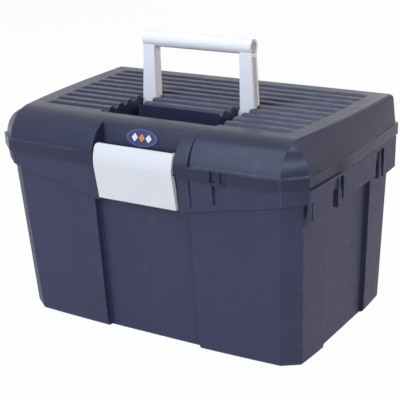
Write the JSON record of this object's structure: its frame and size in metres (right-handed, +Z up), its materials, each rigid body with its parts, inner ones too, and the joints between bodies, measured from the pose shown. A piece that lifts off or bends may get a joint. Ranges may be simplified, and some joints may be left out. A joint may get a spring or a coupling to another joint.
{
  "type": "grooming box",
  "caption": "Moulded box for horse grooming kit: ribbed hinged lid, folding carry handle, front latch and a lift-out tray inside.",
  "frame": {"origin": "middle of the base, on the floor", "axes": "+X along the length to the right as seen from the front, +Y to the back with the hinges, +Z up"},
  "size_m": [0.4, 0.2744, 0.3195],
  "materials": {
    "navy_plastic": "fine moulded grain",
    "grey_plastic": "satin moulding",
    "steel": "drawn wire",
    "badge": "glossy sticker"
  },
  "bodies": {
    "case": {"case_shell": "navy_plastic", "hinge_pin_left": "steel", "hinge_pin_right": "steel"},
    "lid": {"lid_shell": "navy_plastic", "handle_pin_left": "steel", "handle_pin_right": "steel", "latch_pin": "steel", "front_badge": "badge"},
    "handle": {"carry_handle": "grey_plastic"},
    "latch": {"latch_flap": "grey_plastic"},
    "tray": {"lift_out_tray": "navy_plastic", "tray_dividers": "navy_plastic"}
  },
  "joints": [
    {"name": "lid_hinge", "type": "hinge", "parent": "case", "child": "lid", "pos_m": [0, 0.1345, 0.201], "axis": [-1, 0, 0], "range_deg": [0, 105]},
    {"name": "handle_fold", "type": "hinge", "parent": "lid", "child": "handle", "pos_m": [0, 0.0045, 0.235], "axis": [1, 0, 0], "range_deg": [0, 92]},
    {"name": "latch_swing", "type": "hinge", "parent": "lid", "child": "latch", "pos_m": [0, -0.124, 0.219], "axis": [-1, 0, 0], "range_deg": [0, 95]},
    {"name": "tray_lift", "type": "slide", "parent": "case", "child": "tray", "axis": [0, 0, 1], "range_m": [0, 0.012]}
  ]
}
